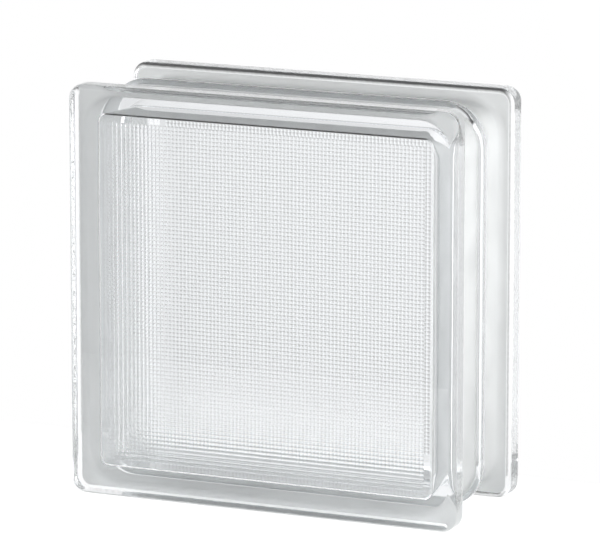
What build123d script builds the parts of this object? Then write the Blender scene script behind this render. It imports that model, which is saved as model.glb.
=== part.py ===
from build123d import *
from math import radians, tan
import os

# A hollow glass block for walls, standing on the edges of its two faces. X is its width,
# Y its depth and Z its height. It is two like pressed shells, melted together at mid depth.
# Each shell is an open pan: a pane, a rim that stands out round it, and a drafted skirt.

# Overall size
block_width = 190.0
block_height = 190.0
block_depth = 80.0

# Rim round the face of each shell
rim_thickness = 12.0
rim_corner_radius = 7.0
face_edge_rounding = 3.0
rim_back_rounding = 2.5

# Mortar channel behind the rim, with the skirt as its floor
channel_depth = 6.0
channel_blend_radius = 3.2
skirt_corner_radius = 15.5
skirt_draft = 1.5

# Bead that the melted seam pushes out round the skirt, and a smaller one into the hollow
bead_width = 5.0
bead_height = 3.2
bead_rounding = 2.2
bead_root_radius = 1.0
inner_bead_height = 1.2
inner_bead_rounding = 1.0

# Hollow inside
pane_thickness = 8.0
wall_thickness = 7.0
hollow_draft = 1.5
hollow_pane_corner_radius = 4.0
hollow_seam_corner_radius = 12.0
hollow_edge_rounding = 1.5

# Depths along Y in the front shell, from its face to the seam at zero
face_y = -block_depth / 2
rim_back_y = face_y + rim_thickness
pane_back_y = face_y + pane_thickness
bead_front_y = -bead_width / 2

# Outlines that follow from each other
skirt_width = block_width - 2 * channel_depth
skirt_height = block_height - 2 * channel_depth
skirt_growth = tan(radians(skirt_draft)) * -rim_back_y
bead_reach = skirt_growth + bead_height
hollow_width = skirt_width - 2 * wall_thickness
hollow_height = skirt_height - 2 * wall_thickness
hollow_growth = tan(radians(hollow_draft)) * -pane_back_y


def across(y):
    """The plane across the block at depth y, facing the back, centred on the block's axis."""
    return Plane(origin=(0, y, block_height / 2), x_dir=(-1, 0, 0), z_dir=(0, 1, 0))


def step_at(part, y):
    """The flat face that lies across the block at depth y."""
    flat_faces = part.faces().filter_by(GeomType.PLANE).filter_by(Axis.Y)
    return flat_faces.sort_by(lambda face: abs(face.center().Y - y))[0]


with BuildPart() as front_half:
    # Pane and rim, as one plate
    with BuildSketch(across(face_y)):
        RectangleRounded(block_width, block_height, rim_corner_radius)
    extrude(amount=rim_thickness)
    fillet(step_at(front_half.part, face_y).edges(), face_edge_rounding)
    fillet(step_at(front_half.part, rim_back_y).edges(), rim_back_rounding)

    # Skirt, the floor of the mortar channel, blended into the rim
    with BuildSketch(across(rim_back_y)):
        RectangleRounded(skirt_width, skirt_height, skirt_corner_radius)
    extrude(amount=-rim_back_y, taper=-skirt_draft)
    channel_wall = step_at(front_half.part, rim_back_y)
    fillet(channel_wall.inner_wires()[0].edges(), channel_blend_radius)

    # This shell's half of the bead outside
    with BuildSketch(across(bead_front_y)):
        RectangleRounded(
            skirt_width + 2 * bead_reach,
            skirt_height + 2 * bead_reach,
            skirt_corner_radius + bead_reach,
        )
    extrude(amount=-bead_front_y)
    bead_side = step_at(front_half.part, bead_front_y)
    fillet(bead_side.outer_wire().edges(), bead_rounding)
    bead_side = step_at(front_half.part, bead_front_y)
    fillet(bead_side.inner_wires()[0].edges(), bead_root_radius)

    # Hollow, open at the seam, with wider corners there than at the pane
    with BuildSketch(across(pane_back_y)):
        RectangleRounded(hollow_width, hollow_height, hollow_pane_corner_radius)
    with BuildSketch(across(0)):
        RectangleRounded(
            hollow_width + 2 * hollow_growth,
            hollow_height + 2 * hollow_growth,
            hollow_seam_corner_radius,
        )
    loft(mode=Mode.SUBTRACT)
    fillet(step_at(front_half.part, pane_back_y).edges(), hollow_edge_rounding)

    # This shell's half of the bead inside
    with BuildSketch(across(bead_front_y)):
        RectangleRounded(skirt_width, skirt_height, skirt_corner_radius)
        RectangleRounded(
            hollow_width - 2 * inner_bead_height,
            hollow_height - 2 * inner_bead_height,
            hollow_seam_corner_radius - inner_bead_height,
            mode=Mode.SUBTRACT,
        )
    extrude(amount=-bead_front_y)
    inner_bead_side = step_at(front_half.part, bead_front_y)
    fillet(inner_bead_side.inner_wires()[0].edges(), inner_bead_rounding)
front_half.part.label = "front_half"

# The back shell is the same pressing, turned half round
with BuildPart() as rear_half:
    add(front_half.part, rotation=(0, 0, 180))
rear_half.part.label = "rear_half"

os.makedirs("parts", exist_ok=True)
for half in (front_half, rear_half):
    export_step(half.part, f"parts/{half.part.label}.step")
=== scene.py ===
import math
import bpy
import numpy as np
from mathutils import Matrix, Vector


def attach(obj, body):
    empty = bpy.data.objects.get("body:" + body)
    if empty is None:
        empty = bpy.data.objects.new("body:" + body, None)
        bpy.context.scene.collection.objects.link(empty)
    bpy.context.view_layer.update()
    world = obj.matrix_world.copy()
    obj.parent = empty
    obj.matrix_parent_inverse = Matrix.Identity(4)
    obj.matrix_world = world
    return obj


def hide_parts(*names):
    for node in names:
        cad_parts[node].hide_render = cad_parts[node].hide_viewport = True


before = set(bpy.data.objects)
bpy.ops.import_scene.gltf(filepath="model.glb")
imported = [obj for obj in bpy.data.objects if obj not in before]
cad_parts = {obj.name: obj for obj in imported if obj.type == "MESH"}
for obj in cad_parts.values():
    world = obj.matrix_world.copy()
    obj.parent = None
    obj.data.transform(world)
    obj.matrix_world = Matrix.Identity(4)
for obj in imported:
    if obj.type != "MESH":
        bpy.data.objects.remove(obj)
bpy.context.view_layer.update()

# Front and rear shell: two like pressings of clear glass, open pans that are melted together at
# their skirts, the rear one turned half round. Each is one closed skin here: the outside, the
# hollow, and the small rounded bumps that the plunger pressed into the back of the pane.
MM = 0.001

# Sizes of the outside in millimetres. Depths run along Y, from the front shell's face to the
# seam at zero. A ring round the block is a square with a half width and a corner radius.
half_size = 95.0
half_depth = 40.0
draft = math.tan(math.radians(1.5))
rim_thickness = 12.0
rim_corner = 7.0
face_edge_rounding = 3.0
rim_back_rounding = 2.5
skirt_half = 89.0
skirt_corner = 15.5
channel_blend = 3.2
bead_edge = -2.5
bead_height = 3.2
bead_rounding = 2.2
bead_root = 1.0
face = -half_depth
rim_back = face + rim_thickness
skirt_at_bead = skirt_half + (bead_edge - rim_back) * draft
bead_half = skirt_half - rim_back * draft + bead_height
bead_corner = skirt_corner + bead_half - skirt_half
# Each shell stops just short of the seam, so that the two skins don't lie in one plane
seam = -0.01
# Inside this ring the face is a flat fan of triangles round its centre
fan_half = 60.0
fan_corner = 4.0
# Rows of depth, half width, corner radius and edge rounding, from the face to the seam
outside_corners = [
    (face, fan_half, fan_corner, 0.0),
    (face, half_size, rim_corner, face_edge_rounding),
    (rim_back, half_size, rim_corner, rim_back_rounding),
    (rim_back, skirt_half, skirt_corner, channel_blend),
    (bead_edge, skirt_at_bead, skirt_corner + skirt_at_bead - skirt_half, bead_root),
    (bead_edge, bead_half, bead_corner, bead_rounding),
    (seam, bead_half, bead_corner, 0.0),
]

# Sizes of the hollow
pane_thickness = 8.0
hollow_half = 82.0
hollow_corner = 4.0
seam_corner = 12.0
inner_bead_height = 1.2
inner_bead_rounding = 1.0
bevel_in, bevel_down, bevel_rounding = 0.75, 0.9, 0.3
border_in = 2.0
pane_back = face + pane_thickness
hollow_at_bead = hollow_half + (bead_edge - pane_back) * draft
inner_bead_half = hollow_half - inner_bead_height
inner_bead_corner = seam_corner - inner_bead_height
# The same kind of rows, from the seam back to the pane, with a small bevel round the pane. The
# last ring lies flat on the pane, and the border of the relief fills it.
inside_corners = [
    (seam, inner_bead_half, inner_bead_corner, 0.0),
    (bead_edge, inner_bead_half, inner_bead_corner, inner_bead_rounding),
    (bead_edge, hollow_at_bead, seam_corner, 0.0),
    (pane_back + bevel_down, hollow_half, hollow_corner, bevel_rounding),
    (pane_back, hollow_half - bevel_in, hollow_corner - bevel_in, bevel_rounding),
    (pane_back, hollow_half - border_in, hollow_corner - border_in, 0.0),
]

# Sizes of the relief on the back of the pane
bump_pitch = 1.82
bumps_a_side = 86
bump_height = 0.42
field_half = bump_pitch * bumps_a_side / 2


def rounded_profile(corners, steps, support=0.3):
    """Rounds each corner of a profile. The arc's centre lies on the bisector, rounding / sin(half
    the angle) from the corner, and the arc turns by 180 degrees less the angle. The corner
    radius of the ring changes as much as its half width. A support row lies close to each arc."""
    rows = []
    for i, (depth, half, radius, rounding) in enumerate(corners):
        here = np.array([depth, half])
        if rounding == 0:
            points = here[None]
        else:
            back = np.array(corners[i - 1][:2]) - here
            on = np.array(corners[i + 1][:2]) - here
            back = back / np.linalg.norm(back)
            on = on / np.linalg.norm(on)
            half_angle = math.acos(float(back @ on)) / 2
            bisector = (back + on) / np.linalg.norm(back + on)
            across = (on - back) / np.linalg.norm(on - back)
            turn = np.linspace(-1, 1, steps + 1)[:, None] * (math.pi / 2 - half_angle)
            centre = here + bisector * rounding / math.sin(half_angle)
            points = centre + rounding * (across * np.sin(turn) - bisector * np.cos(turn))
        arc = np.column_stack([points, radius + points[:, 1] - half])
        if rows and np.linalg.norm(arc[0, :2] - rows[-1][-1, :2]) > 3 * support:
            start = rows[-1][-1]
            share = support / np.linalg.norm(arc[0, :2] - start[:2])
            rows.append(start + (arc[0] - start) * np.array([[share], [1 - share]]))
        rows.append(arc)
    return np.concatenate(rows)


def walk_round(steps, crowding):
    """A walk round the unit square from its lower left corner. On each side t runs from -1 to 1,
    and t + crowding / pi * sin(pi t) brings the points nearer to each other at the corners."""
    t = np.arange(steps) / steps * 2 - 1
    t = t + crowding / math.pi * np.sin(math.pi * t)
    one = np.ones(steps)
    return np.concatenate([t, one, -t, -one]), np.concatenate([-one, t, one, -t])


def rings(profile, steps, crowding):
    """Carries a profile round the block. A point of the sharp square is pulled back to the square
    of half width minus corner radius, and the ring lies one radius from there, toward it."""
    x, z = walk_round(steps, crowding)
    depth, half, radius = profile.T[:, :, None]
    sharp_x, sharp_z = half * x, half * z
    core_x = np.clip(sharp_x, radius - half, half - radius)
    core_z = np.clip(sharp_z, radius - half, half - radius)
    away = np.hypot(sharp_x - core_x, sharp_z - core_z)
    ring_x = core_x + radius * (sharp_x - core_x) / away
    ring_z = core_z + radius * (sharp_z - core_z) / away
    return np.stack([ring_x, depth + 0 * ring_x, ring_z + half_size], axis=-1)


def ring_faces(index):
    """Four-sided faces between neighbouring rows of an index, closed round the ring."""
    on = np.roll(index, -1, axis=1)
    return np.stack([index[:-1], index[1:], on[1:], on[:-1]], axis=-1).reshape(-1, 4)


def bump_field(depth):
    """A square grid of low pyramids, edge to edge, with two steps a pitch: the middle of each
    bump is raised by bump_height, and the valleys round it lie at the pane's depth."""
    line = np.arange(2 * bumps_a_side + 1) * bump_pitch / 2 - field_half
    x, z = np.meshgrid(line, line)
    relief = np.zeros_like(x)
    relief[1::2, 1::2] = bump_height
    return np.stack([x, depth + relief, z + half_size], axis=-1)


def field_faces(index):
    """Two triangles between four neighbouring points of the grid, cut through the bump's middle."""
    a, b, c, d = index[:-1, :-1], index[:-1, 1:], index[1:, 1:], index[1:, :-1]
    rising = np.stack([a, b, c, a, c, d], axis=-1)
    falling = np.stack([b, c, d, b, d, a], axis=-1)
    row, column = np.indices(a.shape) % 2
    return np.where((row == column)[..., None], rising, falling).reshape(-1, 3)


def field_border(index):
    """The field's border points in the order of the walk round the square."""
    return np.concatenate([index[0, :-1], index[:-1, -1], index[-1, :0:-1], index[:0:-1, 0]])


def between_rings(few, many):
    """Flat many-sided faces from a ring of few points to one of many in the same plane: each
    takes one step on the first and the same share of the second."""
    share = len(many) // len(few)
    few = np.append(few, few[0])
    many = np.append(many, many[0])
    strips = [many[i * share:(i + 1) * share + 1] for i in range(len(few) - 1)]
    return [[few[i], *strip, few[i + 1]] for i, strip in enumerate(strips)]


outside_profile = rounded_profile(outside_corners, steps=8)
outside = rings(outside_profile, steps=bumps_a_side // 2, crowding=0.8)
inside = rings(rounded_profile(inside_corners, steps=4), steps=bumps_a_side, crowding=0.3)
field = bump_field(pane_back)
face_middle = np.array([[0, face, half_size]])

# All grids go into one list of points, and each gets an index of its points in that list
grids = [outside, inside, field, face_middle]
points = np.concatenate([grid.reshape(-1, 3) for grid in grids])
starts = np.cumsum([0] + [grid.size // 3 for grid in grids])
index = [
    start + np.arange(grid.size // 3).reshape(grid.shape[:-1])
    for start, grid in zip(starts, grids)
]
outside_index, inside_index, field_index, middle = index
face_ring = outside_index[0]
face_centre = np.full_like(face_ring, middle[0])
face_fan = np.stack([face_ring, np.roll(face_ring, -1), face_centre], axis=-1)
skin_faces = ring_faces(outside_index).tolist()
smooth_faces = skin_faces + face_fan.tolist() + ring_faces(inside_index).tolist()
smooth_faces += field_faces(field_index)[:, ::-1].tolist()
flat_faces = (
    between_rings(outside_index[-1], inside_index[0])
    + between_rings(inside_index[-1], field_border(field_index))
)

# The white coating covers the mortar channel, and leaves the bead and the outer 2.4 mm of the
# rim's flank bare. The margin keeps rows that lie on a limit on their own side of it.
coat_start = 92.55
margin = 0.01
row_depth, row_half = outside_profile[:, 0], outside_profile[:, 1]
coated_row = (row_depth > rim_back - margin) & (row_depth < bead_edge - margin)
coated_row = coated_row & (row_half < coat_start)
coated = np.zeros(len(smooth_faces) + len(flat_faces), dtype=np.int32)
coated[:len(skin_faces)] = np.repeat(coated_row[1:] & coated_row[:-1], outside.shape[1])

# The mould left a fine orange-peel skin on the outer edge of the rim
peel_start = face + 2.0
peel_end = rim_back + 1.0
peel_row = (row_depth > peel_start) & (row_depth < peel_end) & (row_half > coat_start)
mould_skin = np.zeros(len(points), dtype=np.float32)
mould_skin[:outside.size // 3] = np.repeat(peel_row, outside.shape[1])

# Even rows and columns of the field are the valleys between its bumps
field_row = np.full(len(points), -1)
field_column = np.full(len(points), -1)
field_row[field_index], field_column[field_index] = np.indices(field_index.shape)


def along_valley(number, ends):
    """Marks the edges whose two ends lie in the field and have the same even row or column
    number. They stay sharp, so that each bump is shaded by itself, as a small rounded lens."""
    first, second = number[ends].T
    return (first >= 0) & (first == second) & (first % 2 == 0)


shells = []
for name, side in (("front_shell", 1), ("rear_shell", -1)):
    half_turn = np.array([side, side, 1])
    mesh = bpy.data.meshes.new(name)
    mesh.from_pydata(points * half_turn * MM, [], smooth_faces + flat_faces)
    mesh.polygons.foreach_set("use_smooth", np.arange(len(mesh.polygons)) < len(smooth_faces))
    mesh.polygons.foreach_set("material_index", coated)
    mesh.attributes.new("mould_skin", "FLOAT", "POINT").data.foreach_set("value", mould_skin)
    mesh.update()
    ends = np.empty(2 * len(mesh.edges), dtype=np.int32)
    mesh.edges.foreach_get("vertices", ends)
    ends = ends.reshape(-1, 2)
    valley = along_valley(field_row, ends) | along_valley(field_column, ends)
    mesh.attributes.new("sharp_edge", "BOOLEAN", "EDGE").data.foreach_set("value", valley)
    shell = bpy.data.objects.new(name, mesh)
    bpy.context.scene.collection.objects.link(shell)
    shells.append(shell)


def linear(hex_colour):
    """An sRGB hex colour as linear red, green, blue and alpha."""
    parts = [int(hex_colour[i:i + 2], 16) / 255 for i in (1, 3, 5)]
    return [c / 12.92 if c <= 0.04045 else ((c + 0.055) / 1.055) ** 2.4 for c in parts] + [1.0]


def bare_material(name):
    """A new material with an empty node tree."""
    material = bpy.data.materials.new(name)
    material.use_nodes = True
    material.node_tree.nodes.clear()
    return material


def add_node(tree, kind, inputs=None, **settings):
    """Adds a node with its settings, and gives each named or numbered input a value or a link."""
    node = tree.nodes.new(kind)
    for name, value in settings.items():
        setattr(node, name, value)
    for name, value in (inputs or {}).items():
        if isinstance(value, bpy.types.NodeSocket):
            tree.links.new(value, node.inputs[name])
        else:
            node.inputs[name].default_value = value
    return node


# Clear soda-lime glass, pressed and fire-polished: bright and smooth, with a cool tint that
# shows only where the light runs a long way through it. The orange-peel skin of the rim's outer
# edge is 0.1 mm deep, with 600 dents a metre, one every 1.7 mm.
dents_a_metre = 600.0
dent_depth = 0.1 * MM
glass = bare_material("pressed_soda_lime_glass")
tree = glass.node_tree
place = add_node(tree, "ShaderNodeTexCoord")
peel = add_node(tree, "ShaderNodeTexNoise", {
    "Vector": place.outputs["Object"], "Scale": dents_a_metre, "Detail": 3.0})
skin = add_node(tree, "ShaderNodeAttribute", attribute_name="mould_skin")
peel = add_node(tree, "ShaderNodeMath", {
    0: peel.outputs["Fac"], 1: skin.outputs["Fac"]}, operation="MULTIPLY")
dents = add_node(tree, "ShaderNodeBump", {
    "Height": peel.outputs[0], "Strength": 1.0, "Distance": dent_depth})
surface = add_node(tree, "ShaderNodeBsdfPrincipled", {
    "Base Color": linear("#FBFCFD"), "Roughness": 0.0, "IOR": 1.52,
    "Transmission Weight": 1.0, "Normal": dents.outputs[0]})
add_node(tree, "ShaderNodeOutputMaterial", {"Surface": surface.outputs[0]})

# White coating, sprayed thin into the mortar channel so that mortar holds to the glass: satin,
# with a grain of 0.56 mm outside, a little thinner in patches of 14 mm so that some light comes
# through, and seen through the rim and the wall as a soft pale grey. The real grain is finer.
patches_a_metre = 70.0
thick_spray, thin_spray = 0.35, 0.65
light_through_thick, light_through_thin = 0.3, 0.42
grains_a_metre = 1800.0
grain_depth = 0.06 * MM
coating = bare_material("white_sprayed_edge_coating")
tree = coating.node_tree
place = add_node(tree, "ShaderNodeTexCoord")
spray = add_node(tree, "ShaderNodeTexNoise", {
    "Vector": place.outputs["Object"], "Scale": patches_a_metre, "Detail": 4.0})
thinness = add_node(tree, "ShaderNodeMapRange", {
    0: spray.outputs["Fac"], 1: thick_spray, 2: thin_spray,
    3: light_through_thick, 4: light_through_thin})
grain = add_node(tree, "ShaderNodeTexNoise", {
    "Vector": place.outputs["Object"], "Scale": grains_a_metre, "Detail": 2.0})
grain = add_node(tree, "ShaderNodeBump", {
    "Height": grain.outputs["Fac"], "Strength": 0.5, "Distance": grain_depth})
satin = add_node(tree, "ShaderNodeBsdfPrincipled", {
    "Base Color": linear("#FBFDFD"), "Roughness": 0.4, "Specular IOR Level": 0.4,
    "Normal": grain.outputs[0]})
through = add_node(tree, "ShaderNodeBsdfTranslucent", {
    "Color": linear("#FBFDFD"), "Normal": grain.outputs[0]})
surface = add_node(tree, "ShaderNodeMixShader", {
    0: thinness.outputs[0], 1: satin.outputs[0], 2: through.outputs[0]})
add_node(tree, "ShaderNodeOutputMaterial", {"Surface": surface.outputs[0]})

for shell, node in zip(shells, ("front_half", "rear_half")):
    shell.data.materials.append(glass)
    shell.data.materials.append(coating)
    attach(shell, "root")
    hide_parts(node)

# Floor: a small table with a white paper top, 600 mm wide, that ends just behind the block. The
# studio goes on below and behind it, and the glass shows that.
table_left, table_right = -0.3, 0.3
table_front, table_back = -0.3, 0.07
floor_mesh = bpy.data.meshes.new("floor")
floor_corners = [
    (table_left, table_front, 0), (table_right, table_front, 0),
    (table_right, table_back, 0), (table_left, table_back, 0),
]
floor_mesh.from_pydata(floor_corners, [], [(0, 1, 2, 3)])
floor = bpy.data.objects.new("floor", floor_mesh)
bpy.context.scene.collection.objects.link(floor)

# White paper, matt. It glows as the camera sees it, so that it meets the backdrop in white, and
# a little less as the glass shows it.
glow_in_camera = 0.75
glow_in_glass = 0.6
paper = bare_material("white_paper")
tree = paper.node_tree
light_path = add_node(tree, "ShaderNodeLightPath")
in_glass = add_node(tree, "ShaderNodeMath", {
    0: light_path.outputs["Is Glossy Ray"], 1: light_path.outputs["Is Transmission Ray"]},
    operation="MAXIMUM")
in_glass = add_node(tree, "ShaderNodeMath", {
    0: in_glass.outputs[0], 1: glow_in_glass}, operation="MULTIPLY")
in_camera = add_node(tree, "ShaderNodeMath", {
    0: light_path.outputs["Is Camera Ray"], 1: glow_in_camera}, operation="MULTIPLY")
glow = add_node(tree, "ShaderNodeMath", {
    0: in_camera.outputs[0], 1: in_glass.outputs[0]}, operation="MAXIMUM")
surface = add_node(tree, "ShaderNodeBsdfPrincipled", {
    "Base Color": linear("#F3F3F3"), "Roughness": 0.9, "Specular IOR Level": 0.0,
    "Emission Color": linear("#FFFFFF"), "Emission Strength": glow.outputs[0]})
add_node(tree, "ShaderNodeOutputMaterial", {"Surface": surface.outputs[0]})
floor_mesh.materials.append(paper)

# Studio: a white backdrop straight behind the block that darkens to the sides, soft lights on
# its right, behind its left and in front of its left, a pale room in front, and a dark ceiling
world = bpy.data.worlds.new("studio")
bpy.context.scene.world = world
world.use_nodes = True
tree = world.node_tree
tree.nodes.clear()
light_path = add_node(tree, "ShaderNodeLightPath")
direction = add_node(tree, "ShaderNodeTexCoord")


def wall(towards, start, end, dark, light):
    """How bright the studio is by the cosine of the angle from one direction: dark where it is
    below start, light where it is above end, and a smooth step between them."""
    cosine = add_node(tree, "ShaderNodeVectorMath", {
        0: direction.outputs["Generated"], 1: towards}, operation="DOT_PRODUCT")
    return add_node(tree, "ShaderNodeMapRange", {
        0: cosine.outputs["Value"], 1: start, 2: end, 3: dark, 4: light},
        interpolation_type="SMOOTHSTEP").outputs[0]


backdrop = wall((-0.05, 0.999, 0.0), start=0.76, end=0.985, dark=0.1, light=1.11)
right_light = wall((1.0, 0.0, 0.0), start=0.3, end=0.65, dark=0.0, light=2.05)
left_light = wall((-0.95, 0.31, 0.0), start=0.6, end=0.9, dark=0.0, light=1.1)
front_left = wall((-0.85, -0.35, 0.4), start=0.65, end=0.92, dark=0.0, light=2.1)
room = wall((-0.2, -0.98, 0.0), start=-0.2, end=0.4, dark=0.0, light=0.8)
ceiling = wall((0.0, 0.0, 1.0), start=0.35, end=0.85, dark=1.0, light=0.06)
# The brightest wall counts in each direction, the ceiling dims it, and the camera sees white
level = backdrop
for other in (right_light, left_light, front_left, room):
    level = add_node(tree, "ShaderNodeMath", {0: level, 1: other}, operation="MAXIMUM").outputs[0]
level = add_node(tree, "ShaderNodeMath", {0: level, 1: ceiling}, operation="MULTIPLY").outputs[0]
level = add_node(tree, "ShaderNodeMath", {
    0: light_path.outputs["Is Camera Ray"], 1: level}, operation="MAXIMUM").outputs[0]
light = add_node(tree, "ShaderNodeBackground", {"Color": linear("#FFFFFF"), "Strength": level})
add_node(tree, "ShaderNodeOutputWorld", {"Surface": light.outputs[0]})

# Camera: 24 degrees to the right of the front face and 12 degrees above it, 2.3 m off behind a
# long lens. Angles and framing were solved from the block's outline in the photograph.
azimuth, elevation = math.radians(23.806), math.radians(11.98)
distance = 2.290
aim_right, aim_up = 0.0023, 0.0066
block_middle = Vector((0, 0, half_size * MM))
level_back = Vector((math.sin(azimuth), -math.cos(azimuth), 0))
back = level_back * math.cos(elevation) + Vector((0, 0, math.sin(elevation)))
right = Vector((math.cos(azimuth), math.sin(azimuth), 0))
up = back.cross(right)
camera = bpy.data.objects.new("camera", bpy.data.cameras.new("camera"))
bpy.context.scene.collection.objects.link(camera)
camera.data.lens = 302.0
camera.data.sensor_width = 36.0
camera.data.clip_end = 20.0
stand = block_middle + back * distance + right * aim_right + up * aim_up
turn = Matrix((right, up, back)).transposed()
camera.matrix_world = Matrix.Translation(stand) @ turn.to_4x4()
scene = bpy.context.scene
scene.camera = camera

# Light crosses many faces of glass before it leaves the block
scene.cycles.max_bounces = 32
scene.cycles.diffuse_bounces = 24
scene.cycles.transmission_bounces = 32
scene.cycles.glossy_bounces = 32
scene.view_settings.view_transform = "Standard"
